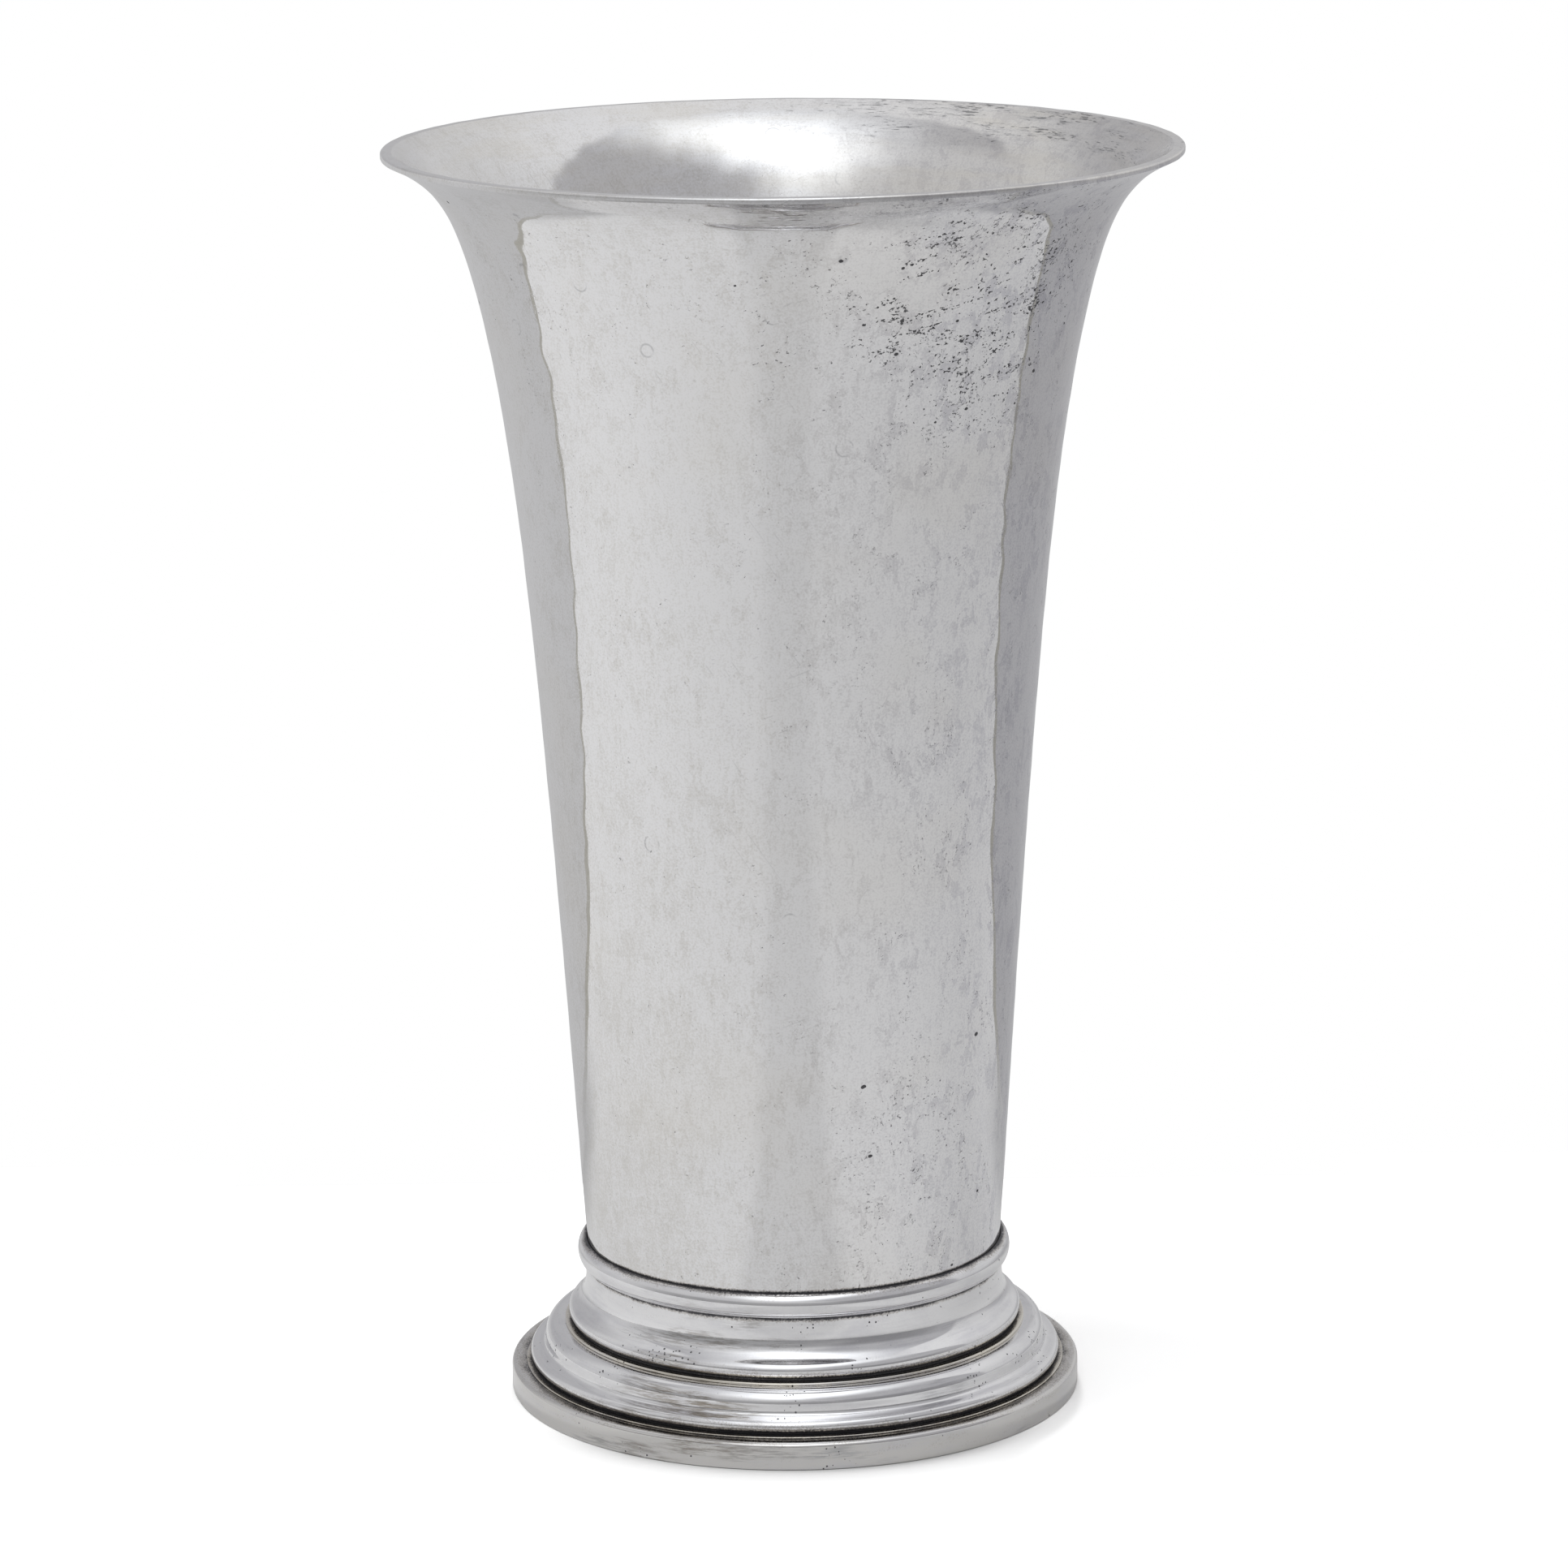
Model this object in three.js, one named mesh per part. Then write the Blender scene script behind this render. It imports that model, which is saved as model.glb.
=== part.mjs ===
// A silver vase on a moulded foot. The body is sheet silver, a slow taper that flares to a level lip,
// closed by a floor disc and bound at its base by a half-round bead. The foot is hollow: two moulded stages
// and a plinth ring, with a thin fillet wire under each stage. All the joints are soldered, so nothing moves.
// Millimetres, +Z up. The origin is the centre of the face that the vase stands on.

import * as THREE from 'three';

// Body
const overallHeight = 300;
const rimDiameter = 186.6;
const bodyBaseDiameter = 98.9;
const bodyTaper = 0.0622; // radius gained for each millimetre of height
const trumpetReach = 43.5; // depth below the lip over which the wide flare fades
const lipReach = 5.9; // depth over which the sharp turn of the lip fades
const lipShare = 0.415; // share of the flare that the lip's sharp turn makes
const bodyGauge = 1.0;
const lipThickening = 1.4; // metal gathered at the lip by hammering its edge down
const lipEdge = 1.3; // height of the lip's outer edge below its level face
const floorGauge = 1.2;

// Bead round the foot of the body
const beadHeight = 5.7;
const beadProjection = 2.15;

// Upper stage of the foot, a cavetto between a neck band and a thin lip
const neckStep = 0.55; // how far the neck shows outside the bead's back
const neckHeight = 1.4;
const cavettoProjection = 3.1;
const cavettoHeight = 9.5;
const upperLipHeight = 2.4;
const upperUndercutHeight = 1.25;
const upperFilletHeight = 0.65;

// Lower stage of the foot, a ledge and a round shoulder that runs out to a second lip
const ledgeWidth = 2.0;
const shoulderProjection = 3.1;
const shoulderHeight = 3.0;
const cymaProjection = 3.45;
const cymaHeight = 3.0;
const lowerLipHeight = 2.3;
const lowerUndercutHeight = 1.0;
const lowerFilletHeight = 0.4;

// Both stages
const footGauge = 1.2;
const lipNose = 0.9; // depth of a lip's rounded nose
const undercutDepth = 1.5; // how far a lip overhangs the heel below it
const heelWidth = 2.2; // width of the flat rim that a stage is soldered on
const filletShow = 1.0; // how far a fillet wire shows outside the lip above it
const seatMargin = 1.0; // how far a carrying flange runs in past what it carries

// Plinth
const plinthHeight = 6.5;
const plinthLedge = 4.55; // how far the plinth stands outside the lower lip
const plinthEdgeRound = 1.0;
const plinthFootRound = 0.4;
const plinthWall = 1.8;
const plinthFlange = 1.4;

// Fits and facets
const solderGap = 0.1;
const flangeReach = 3.5; // how far the flange under the body runs in past its wall
const turnFacets = 48;
const bodyRings = 16;
const ringCrowding = 2.4; // crowds the body's rings towards the lip
const archSteps = 6;
const noseSteps = 4;
const levelPasses = 12; // rounds that bring the lip's level face to its inner wall

// Levels, from the ground up
const lowerFilletLevel = plinthHeight;
const lowerStageLevel = lowerFilletLevel + lowerFilletHeight;
const lowerLipLevel = lowerStageLevel + lowerUndercutHeight;
const cymaLevel = lowerLipLevel + lowerLipHeight;
const shoulderLevel = cymaLevel + cymaHeight;
const ledgeLevel = shoulderLevel + shoulderHeight;
const upperStageLevel = ledgeLevel + upperFilletHeight;
const upperLipLevel = upperStageLevel + upperUndercutHeight;
const cavettoLevel = upperLipLevel + upperLipHeight;
const neckLevel = cavettoLevel + cavettoHeight;
const bodyLevel = neckLevel + neckHeight;
const lipLevel = overallHeight - lipEdge;

// Radii of the body, at a depth below the outer edge of the lip
const rimRadius = rimDiameter / 2;
const bodyBaseRadius = bodyBaseDiameter / 2;
const bodyLength = lipLevel - bodyLevel;
const flare = rimRadius - bodyBaseRadius - bodyTaper * bodyLength;

function bodyRadius(depth) {
  const taper = bodyTaper * (bodyLength - depth);
  const trumpet = (1 - lipShare) * Math.exp(-depth / trumpetReach);
  const lip = lipShare * Math.exp(-depth / lipReach);
  return bodyBaseRadius + taper + flare * (trumpet + lip);
}

function bodySlope(depth) {
  const trumpet = ((1 - lipShare) * Math.exp(-depth / trumpetReach)) / trumpetReach;
  const lip = (lipShare * Math.exp(-depth / lipReach)) / lipReach;
  return bodyTaper + flare * (trumpet + lip);
}

const sheetGauge = (depth) => bodyGauge + lipThickening * Math.exp(-depth / lipReach);

// Radii of the foot, from the body outwards
const bodyInnerRadius = bodyRadius(bodyLength) - bodyGauge;
const beadBore = bodyRadius(bodyLength - beadHeight) + solderGap;
const neckRadius = beadBore + neckStep;
const upperLipRadius = neckRadius + cavettoProjection + lipNose;
const upperFilletRadius = upperLipRadius + filletShow;
const ledgeRadius = upperLipRadius + ledgeWidth;
const shoulderRadius = ledgeRadius + shoulderProjection;
const lowerLipRadius = shoulderRadius + cymaProjection + lipNose;
const lowerFilletRadius = lowerLipRadius + filletShow;
const plinthRadius = lowerLipRadius + plinthLedge;
const upperHeelBore = upperLipRadius - undercutDepth - heelWidth;
const lowerHeelBore = lowerLipRadius - undercutDepth - heelWidth;

const at = (radius, height) => new THREE.Vector2(radius, height);

/** Points along an ellipse's arc in the outline's plane, with angles in degrees from the outward direction. */
function arch(radius, height, width, rise, from, to, steps) {
  const [start, end] = [from, to].map(THREE.MathUtils.degToRad);
  return new THREE.EllipseCurve(radius, height, width, rise, start, end, to < from).getPoints(steps);
}

/** A ring turned from a closed outline that runs up its outside and down its inside. */
function ring(...outline) {
  const points = outline.flat();
  return new THREE.LatheGeometry([...points, points[0].clone()], turnFacets).rotateX(Math.PI / 2);
}

/** The rounded nose of a lip and the undercut heel below it, from the heel's foot up to the top of the nose. */
function lipOverHeel(lipRadius, heelFoot, lipBottom, lipHeight) {
  const heelRadius = lipRadius - undercutDepth;
  const noseCentre = lipBottom + lipHeight / 2;
  return [
    at(heelRadius, heelFoot),
    at(heelRadius, lipBottom),
    ...arch(lipRadius - lipNose, noseCentre, lipNose, lipHeight / 2, -90, 90, noseSteps),
  ];
}

/** Back of a hollow moulding's sheet, from where its face stands upright down to the bore of its heel. */
function hollowBack(archRadius, archHeight, width, rise, bore) {
  const lastAngle = 180 + THREE.MathUtils.radToDeg(Math.acos((archRadius - bore) / width));
  return arch(archRadius, archHeight, width, rise, 180, lastAngle, archSteps);
}

function bodyShell() {
  const ringDepth = (_, i) => bodyLength * (i / bodyRings) ** ringCrowding;
  const depths = Array.from({ length: bodyRings + 1 }, ringDepth);
  const outside = depths.map((depth) => at(bodyRadius(depth), lipLevel - depth)).reverse();
  const insideOffset = (depth) => sheetGauge(depth) / Math.hypot(1, bodySlope(depth));
  const insideRise = (depth) => insideOffset(depth) * bodySlope(depth);
  const insideRadius = (depth) => bodyRadius(depth) - insideOffset(depth);
  const insidePoint = (depth) => at(insideRadius(depth), lipLevel - depth + insideRise(depth));
  let levelDepth = 0; // where the inner wall comes up to the lip's level face
  for (let pass = 0; pass < levelPasses; pass++) {
    levelDepth = insideRise(levelDepth) - lipEdge;
  }
  const levelFace = [at(rimRadius - lipEdge / 2, overallHeight), insidePoint(levelDepth)];
  const insideDepths = depths.filter((depth) => depth > levelDepth + bodyGauge && depth < bodyLength);
  return ring(outside, levelFace, insideDepths.map(insidePoint), at(bodyInnerRadius, bodyLevel));
}

function floorDisc() {
  const radius = bodyInnerRadius - solderGap;
  const top = bodyLevel + floorGauge;
  const outline = [at(0, bodyLevel), at(radius, bodyLevel), at(radius, top), at(0, top)];
  return new THREE.LatheGeometry(outline, turnFacets).rotateX(Math.PI / 2);
}

function collarBead() {
  const halfHeight = beadHeight / 2;
  return ring(arch(beadBore, bodyLevel + halfHeight, beadProjection, halfHeight, -90, 90, 2 * archSteps));
}

function upperStage() {
  const archRadius = upperLipRadius - lipNose;
  const innerCavetto = [cavettoProjection + footGauge, cavettoHeight + footGauge];
  const bore = bodyInnerRadius - flangeReach;
  return ring(
    at(upperHeelBore, upperStageLevel),
    lipOverHeel(upperLipRadius, upperStageLevel, upperLipLevel, upperLipHeight),
    arch(archRadius, neckLevel, cavettoProjection, cavettoHeight, 270, 180, archSteps).slice(1),
    at(neckRadius, bodyLevel),
    at(bore, bodyLevel),
    at(bore, bodyLevel - footGauge),
    at(neckRadius - footGauge, bodyLevel - footGauge),
    hollowBack(archRadius, neckLevel, ...innerCavetto, upperHeelBore),
  );
}

function lowerStage() {
  const archRadius = lowerLipRadius - lipNose;
  const bore = upperHeelBore - seatMargin;
  const innerShoulder = [shoulderProjection - footGauge, shoulderHeight - footGauge];
  const innerCyma = [cymaProjection + footGauge, cymaHeight + footGauge];
  return ring(
    at(lowerHeelBore, lowerStageLevel),
    lipOverHeel(lowerLipRadius, lowerStageLevel, lowerLipLevel, lowerLipHeight),
    arch(archRadius, shoulderLevel, cymaProjection, cymaHeight, 270, 180, archSteps).slice(1),
    arch(ledgeRadius, shoulderLevel, shoulderProjection, shoulderHeight, 0, 90, archSteps).slice(1),
    at(bore, ledgeLevel),
    at(bore, ledgeLevel - footGauge),
    arch(ledgeRadius, shoulderLevel, ...innerShoulder, 90, 0, archSteps),
    hollowBack(archRadius, shoulderLevel, ...innerCyma, lowerHeelBore).slice(1),
  );
}

/** A flat wire that shows as a fine line between a lip and the ledge below it. */
function filletWire(radius, bore, level, height) {
  return ring(at(bore, level), at(radius, level), at(radius, level + height), at(bore, level + height));
}

function plinthRing() {
  const bore = lowerHeelBore - seatMargin;
  const wallBore = plinthRadius - plinthWall;
  const [edge, foot] = [plinthEdgeRound, plinthFootRound];
  return ring(
    at(wallBore, 0),
    arch(plinthRadius - foot, foot, foot, foot, -90, 0, noseSteps / 2),
    arch(plinthRadius - edge, plinthHeight - edge, edge, edge, 0, 90, noseSteps),
    at(bore, plinthHeight),
    at(bore, plinthHeight - plinthFlange),
    at(wallBore, plinthHeight - plinthFlange),
  );
}

const planishedSilver = new THREE.MeshStandardMaterial({ color: 0xc6c6ca, roughness: 0.24, metalness: 1 });
const polishedSilver = new THREE.MeshStandardMaterial({ color: 0xc9c8c6, roughness: 0.16, metalness: 1 });
const dullSilver = new THREE.MeshStandardMaterial({ color: 0xa9a8a4, roughness: 0.42, metalness: 1 });

const upperFillet = filletWire(upperFilletRadius, upperHeelBore, ledgeLevel, upperFilletHeight);
const lowerFillet = filletWire(lowerFilletRadius, lowerHeelBore, lowerFilletLevel, lowerFilletHeight);
const pieces = [
  ['body_shell', bodyShell(), planishedSilver],
  ['floor_disc', floorDisc(), dullSilver],
  ['collar_bead', collarBead(), polishedSilver],
  ['upper_stage', upperStage(), polishedSilver],
  ['upper_fillet', upperFillet, polishedSilver],
  ['lower_stage', lowerStage(), polishedSilver],
  ['lower_fillet', lowerFillet, polishedSilver],
  ['plinth_ring', plinthRing(), polishedSilver],
];

const vase = new THREE.Group();
for (const [name, geometry, material] of pieces) {
  const mesh = new THREE.Mesh(geometry, material);
  mesh.name = name;
  vase.add(mesh);
}

export default vase;
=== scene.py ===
"""A silver vase on a moulded foot: a planished, worn body with a wide flared lip, on a hollow stepped foot.

Lengths are in metres, +Z is up, and the origin is the centre of the ring that the vase stands on.
"""

import functools
import math

import bpy
import numpy as np
from bpy.props import FloatProperty, FloatVectorProperty, IntProperty, PointerProperty
from mathutils import Matrix, Vector


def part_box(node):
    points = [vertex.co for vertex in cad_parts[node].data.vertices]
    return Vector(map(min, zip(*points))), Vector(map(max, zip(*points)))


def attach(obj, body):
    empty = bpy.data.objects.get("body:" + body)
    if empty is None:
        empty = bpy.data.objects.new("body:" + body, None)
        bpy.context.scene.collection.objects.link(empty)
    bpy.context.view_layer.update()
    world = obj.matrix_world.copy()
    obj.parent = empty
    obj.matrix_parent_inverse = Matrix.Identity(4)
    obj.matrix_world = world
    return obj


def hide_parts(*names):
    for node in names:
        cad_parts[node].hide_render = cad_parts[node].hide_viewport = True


bl_info = {
    "name": "Silver Vase",
    "version": (1, 0, 0),
    "blender": (4, 5, 0),
    "location": "View3D > Sidebar > Vase",
    "description": "Models a planished silver vase on a moulded foot, piece by piece, and sets its stage",
    "category": "Object",
}

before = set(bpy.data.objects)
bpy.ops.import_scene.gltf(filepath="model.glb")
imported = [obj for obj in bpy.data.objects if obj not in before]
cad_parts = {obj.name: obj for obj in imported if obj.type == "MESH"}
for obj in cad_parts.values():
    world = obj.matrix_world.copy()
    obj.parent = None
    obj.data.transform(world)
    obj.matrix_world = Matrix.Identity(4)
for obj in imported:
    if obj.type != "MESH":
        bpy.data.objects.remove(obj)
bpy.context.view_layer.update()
MM = 0.001
WELD = 1e-7

# Share of the wall's rings that is spaced evenly. The rest crowd towards the lip.
EVEN_RINGS = 0.45
# Steps of the search for the depth at which the inner wall meets the lip's face.
HALVINGS = 40
# Radius at which a pattern that runs round the vase keeps its size.
GIRTH = 55 * MM


def reach_of(node):
    """Outer radius of a node in the frame."""
    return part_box(node)[1].x


def foot_of(node):
    """Height of a node's lowest point."""
    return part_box(node)[0].z


def top_of(node):
    """Height of a node's highest point."""
    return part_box(node)[1].z


def length(name, description, default):
    """A setting that holds a length in metres."""
    return FloatProperty(name=name, description=description, default=default, unit="LENGTH", precision=5)


def share(name, description, default):
    """A setting that holds a share, a strength or a roughness."""
    return FloatProperty(name=name, description=description, default=default, min=0.0, subtype="FACTOR")


def angle(name, description, degrees):
    """A setting that holds an angle."""
    return FloatProperty(name=name, description=description, default=math.radians(degrees), subtype="ANGLE")


def count(name, description, default):
    """A setting that holds a whole number."""
    return IntProperty(name=name, description=description, default=default)


def colour(name, description, default):
    """A setting that holds a colour."""
    return FloatVectorProperty(name=name, description=description, default=default, size=3, subtype="COLOR")


class VaseBody(bpy.types.PropertyGroup):
    """Sizes of the sheet body, its bead and its floor."""

    rim_radius: length("Rim radius", "Outer radius of the lip", reach_of("body_shell"))
    base_radius: length("Base radius", "Radius that the straight taper starts from", 49.45 * MM)
    taper: FloatProperty(name="Taper", description="Radius gained for each unit of height", default=0.0622)
    trumpet_reach: length("Trumpet reach", "Depth over which the wide flare fades", 43.5 * MM)
    lip_reach: length("Lip reach", "Depth over which the sharp turn of the lip fades", 5.9 * MM)
    lip_share: share("Lip share", "Share of the flare that the lip's sharp turn makes", 0.415)
    gauge: length("Gauge", "Thickness of the sheet", 1.0 * MM)
    lip_thickening: length("Lip thickening", "Metal gathered at the lip", 1.4 * MM)
    lip_edge: length("Lip edge", "Height of the lip's filed outer edge", 1.3 * MM)
    lip_round: length("Lip round", "Radius at the top of that edge", 0.5 * MM)
    lip_margin: length("Lip margin", "Depth under the lip's face at which the inner rings start", 0.2 * MM)
    wall_rings: count("Wall rings", "Rings along each side of the wall", 165)
    seam_band: length("Seam band", "Height of the band above the bead that has extra rings", 1.6 * MM)
    seam_rings: count("Seam rings", "Rings in that band", 6)
    turns: count("Turns", "Steps round the body", 270)
    floor_dish: share("Floor dish", "Depth of the dish on each side of the floor, for its thickness", 0.25)
    floor_rings: count("Floor rings", "Rings on each side of the floor", 24)
    planish_size: length("Planish size", "Width of a hammer mark", 8.0 * MM)
    planish_depth: length("Planish depth", "Depth of a hammer mark", 0.14 * MM)
    sway_size: length("Sway size", "Width of the slow waves in the sheet", 45.0 * MM)
    sway_depth: length("Sway depth", "Depth of the slow waves", 0.12 * MM)


class VaseFoot(bpy.types.PropertyGroup):
    """Sizes of the mouldings that make the foot."""

    seam: length("Seam", "Clearance at a soldered seam", 0.1 * MM)
    neck_step: length("Neck step", "How far the neck shows outside the bead's back", 0.2 * MM)
    bead_lap: length("Bead lap", "How far the bead laps over the neck", 0.35 * MM)
    neck_height: length("Neck height", "Height of the plain band under the bead", 0.45 * MM)
    cavetto_drop: share("Cavetto drop", "How far the hollow drops before it turns out", 0.79)
    cavetto_slide: share("Cavetto slide", "How far the hollow slides out at its foot", 0.85)
    cavetto_slope: angle("Cavetto slope", "Slope at the hollow's foot", 36)
    upper_undercut: length("Upper undercut", "Height of the groove under the upper lip", 0.6 * MM)
    upper_lip: length("Upper lip", "Height of the upper lip", 3.25 * MM)
    ledge_width: length("Ledge width", "How far the ledge runs out past the upper lip", 2.65 * MM)
    shoulder_width: length("Shoulder width", "How far the round shoulder projects", 3.1 * MM)
    shoulder_height: length("Shoulder height", "Height of the round shoulder", 3.45 * MM)
    cyma_drop: share("Cyma drop", "How far the lower hollow drops before it turns out", 0.88)
    cyma_slide: share("Cyma slide", "How far the lower hollow slides out at its foot", 0.88)
    cyma_slope: angle("Cyma slope", "Slope at the lower hollow's foot", 15)
    lower_undercut: length("Lower undercut", "Height of the groove under the lower lip", 0.45 * MM)
    lower_lip: length("Lower lip", "Height of the lower lip", 2.6 * MM)
    upper_nose: length("Upper nose", "Depth of the upper lip's rounded nose", 0.7 * MM)
    lower_nose: length("Lower nose", "Depth of the lower lip's rounded nose", 0.67 * MM)
    undercut: length("Undercut", "How far a lip overhangs the heel below it", 0.9 * MM)
    heel_width: length("Heel width", "Width of the flat rim that a stage is soldered on", 2.2 * MM)
    gauge: length("Gauge", "Thickness of the moulded sheet", 1.2 * MM)
    seat_margin: length("Seat margin", "How far a flange runs in past what it carries", 1.0 * MM)
    flange_reach: length("Flange reach", "How far the flange under the body runs in", 3.5 * MM)
    plinth_round: length("Plinth round", "Radius of the plinth's upper edge", 1.0 * MM)
    plinth_foot_round: length("Plinth foot round", "Radius of the plinth's lower edge", 0.4 * MM)
    plinth_wall: length("Plinth wall", "Thickness of the plinth's wall", 1.8 * MM)
    plinth_flange: length("Plinth flange", "Thickness of the plinth's top", 1.4 * MM)
    arris: length("Arris", "Width of the worn edge on a sharp corner", 0.12 * MM)
    turns: count("Turns", "Steps round a moulding", 320)
    run: length("Run", "Longest straight step along a moulding's outline", 0.6 * MM)
    arch_steps: count("Arch steps", "Steps along a round moulding", 22)
    nose_steps: count("Nose steps", "Steps along a lip's nose", 16)
    waver_size: length("Waver size", "Width of the waver left by hand work", 22.0 * MM)
    waver_depth: length("Waver depth", "Depth of that waver", 0.03 * MM)


class SilverFinish(bpy.types.PropertyGroup):
    """Colours and gloss of the silver and what dulls it."""

    clean: colour("Clean", "Polished silver", (0.826, 0.823, 0.832))
    haze: colour("Haze", "Silver under a thin film of tarnish", (0.638, 0.634, 0.670))
    # Partly painted shade: this darker tint also stands for the shadowed table that the plinth mirrors near
    # the foot, and for the body's dimmer right side.
    film: colour("Film", "Silver under a thicker film, on the plinth", (0.69, 0.677, 0.66))
    warm: colour("Warm", "First straw tint of tarnish", (0.74, 0.70, 0.62))
    pit: colour("Pit", "Black sulphide in a pit", (0.055, 0.054, 0.06))
    stain: colour("Stain", "Grey outline of a dried drop", (0.44, 0.44, 0.45))
    brown: colour("Brown", "Brown tarnish at the edge of a groove", (0.26, 0.21, 0.145))
    grime: colour("Grime", "Blue-black tarnish in a groove", (0.07, 0.07, 0.08))
    dull: colour("Dull", "Unpolished silver inside and below", (0.60, 0.59, 0.57))
    gloss: share("Gloss", "Roughness of the polished metal", 0.025)
    hazed: share("Hazed", "Roughness under haze", 0.06)
    unpolished: share("Unpolished", "Roughness added inside the body", 0.07)
    matt: share("Matt", "Roughness added deep inside the body", 0.35)
    sooty: share("Sooty", "Roughness of pits and grime", 0.6)
    seam_grime: length("Seam grime", "Reach of the grime on the body above the bead", 0.6 * MM)
    bead_grime: length("Bead grime", "Reach of the grime along the bead's upper edge", 1.3 * MM)
    lap_grime: length("Lap grime", "Reach of the grime along the bead's lower edge", 0.6 * MM)
    neck_grime: length("Neck grime", "Reach of the grime on the neck under the bead", 0.8 * MM)
    groove_grime: length("Groove grime", "Reach of the grime in the grooves under the lips", 1.6 * MM)
    ledge_grime: length("Ledge grime", "Reach of the grime on the ledge under the upper stage", 1.5 * MM)
    upper_grime: length("Upper grime", "Reach of the grime on the upper fillet", 1.2 * MM)
    lower_grime: length("Lower grime", "Reach of the grime on the lower fillet", 1.8 * MM)
    plinth_grime: length("Plinth grime", "Reach of the grime on the plinth's top", 3.6 * MM)


class VaseStage(bpy.types.PropertyGroup):
    """The camera, the table top and the lights."""

    photo_width: count("Photo width", "Pixels across the photograph", 1932)
    focal: FloatProperty(name="Focal length", description="In photograph pixels", default=7641.2)
    distance: length("Distance", "From the camera to the vase's axis", 1.47322)
    pitch: angle("Pitch", "How far the camera looks down", 13.014)
    roll: angle("Roll", "Turn of the camera about its line of sight", -0.59)
    look_height: length("Look height", "Height of the point that the camera looks at", 0.14782)
    aside: length("Aside", "How far the camera stands to the right of the axis", -0.00121)
    table_back: length("Table back", "How far the table top runs behind the vase", 0.165)
    table_front: length("Table front", "How far the table top runs in front", 2.4)
    table_half: length("Table half width", "Half the table top's width", 1.8)
    table_colour: colour("Table colour", "The table top's colour", (0.8, 0.8, 0.8))
    table_seen: colour("Table seen", "The table top's colour where the camera sees it", (1.45, 1.45, 1.45))
    rim_width: length("Rim width", "Width of the table's far rim", 0.02)
    rim_colour: colour("Rim colour", "Colour of the table's far rim", (0.44, 0.43, 0.395))
    rim_gap: length("Rim gap", "How far from the middle that rim starts", 0.15)
    fade_start: length("Fade start", "How far behind the axis the table top starts to fade", 0.08)
    faded_colour: colour("Faded colour", "The table top's far edge behind the vase", (0.53, 0.53, 0.535))
    seen_core: length("Seen core", "How far from the axis the camera sees all of the table top", 0.3)
    seen_reach: length("Seen reach", "How far from the axis the camera sees any of it", 0.55)
    hole_margin: length("Hole margin", "How far inside the plinth the table top is left open", 1.0 * MM)
    contact_reach: length("Contact reach", "Width of the soft shadow where the vase stands", 13 * MM)
    room_light: share("Room light", "Strength of the room's plain light", 0.42)
    room_pale: colour("Pale room", "What the silver mirrors where the room is pale", (0.67, 0.67, 0.675))
    room_dim: colour("Dim room", "What the silver mirrors where the room is dimmer", (0.48, 0.478, 0.492))
    horizon: share("Horizon", "How much darker the room is behind the camera, near the horizon", 0.38)
    ceiling: share("Ceiling", "How much brighter the ceiling is than the walls", 0.25)
    lamp: share("Lamp", "Strength of the soft lamp that the silver mirrors", 1.35)
    lamp_forward: share("Lamp forward", "How far before the zenith it hangs, for a height of one", 0.55)
    lamp_aside: share("Lamp aside", "How far to the right it hangs overhead, for a height of one", 0.15)
    lamp_lean: share("Lamp lean", "How far it leans to the left for each unit forward", 0.2)
    lamp_width: share("Lamp width", "Half its width, for a height of one", 0.385)
    lamp_depth: share("Lamp depth", "Half its depth, for a height of one", 0.86)
    lamp_tint: colour("Lamp tint", "Colour of the lamp and its glow", (0.96, 0.99, 1.0))


def point(radius, height):
    """A point of an outline."""
    return Vector((radius, height))


def arc(radius, height, width, rise, start, end, steps):
    """Points along an ellipse's arc, with angles in degrees from the outward direction."""
    angles = np.radians(np.linspace(start, end, steps + 1))
    return [point(radius + width * math.cos(a), height + rise * math.sin(a)) for a in angles]


def hollow(start, end, drop, slide, slope, steps):
    """Points along a hollow that drops from its start and slides out to its end, at the given slope."""
    width, height = end.x - start.x, start.y - end.y
    reach = Vector((-math.cos(slope), math.sin(slope))) * width * slide
    pulls = (start, start - point(0, height * drop), end + reach, end)
    way = np.linspace(0, 1, steps + 1)
    weights = ((1 - way) ** 3, 3 * (1 - way) ** 2 * way, 3 * (1 - way) * way**2, way**3)
    return [sum((p * w for p, w in zip(pulls, at)), point(0, 0)) for at in zip(*weights)]


def refined(outline, run):
    """A closed outline with points added along its straight runs, so that no step is longer than run."""
    found = []
    for start, end in zip(outline, outline[1:] + outline[:1]):
        steps = math.ceil((end - start).length / run)
        found += [start.lerp(end, step / steps) for step in range(steps)]
    return found


def turn(name, outline, turns, closed=True):
    """Draws an outline of (radius, height) points by extruding a corner, then spins it round the axis."""
    bpy.ops.object.select_all(action="DESELECT")
    bpy.ops.mesh.primitive_plane_add(size=1.0, location=(0, 0, 0))
    piece = bpy.context.object
    piece.name = piece.data.name = name
    bpy.ops.object.mode_set(mode="EDIT")
    bpy.ops.mesh.select_all(action="SELECT")
    bpy.ops.mesh.merge(type="CENTER")
    bpy.ops.transform.translate(value=(outline[0].x, 0, outline[0].y))
    ends = outline[1:] + outline[:1] if closed else outline[1:]
    for start, end in zip(outline, ends):
        step = end - start
        bpy.ops.mesh.extrude_region_move(TRANSFORM_OT_translate={"value": (step.x, 0, step.y)})
    bpy.ops.mesh.select_all(action="SELECT")
    bpy.ops.mesh.remove_doubles(threshold=WELD)
    bpy.ops.mesh.spin(steps=turns, angle=2 * math.pi, center=(0, 0, 0), axis=(0, 0, 1))
    bpy.ops.mesh.select_all(action="SELECT")
    bpy.ops.mesh.remove_doubles(threshold=WELD)
    bpy.ops.mesh.normals_make_consistent(inside=False)
    bpy.ops.object.mode_set(mode="OBJECT")
    return piece


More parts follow.
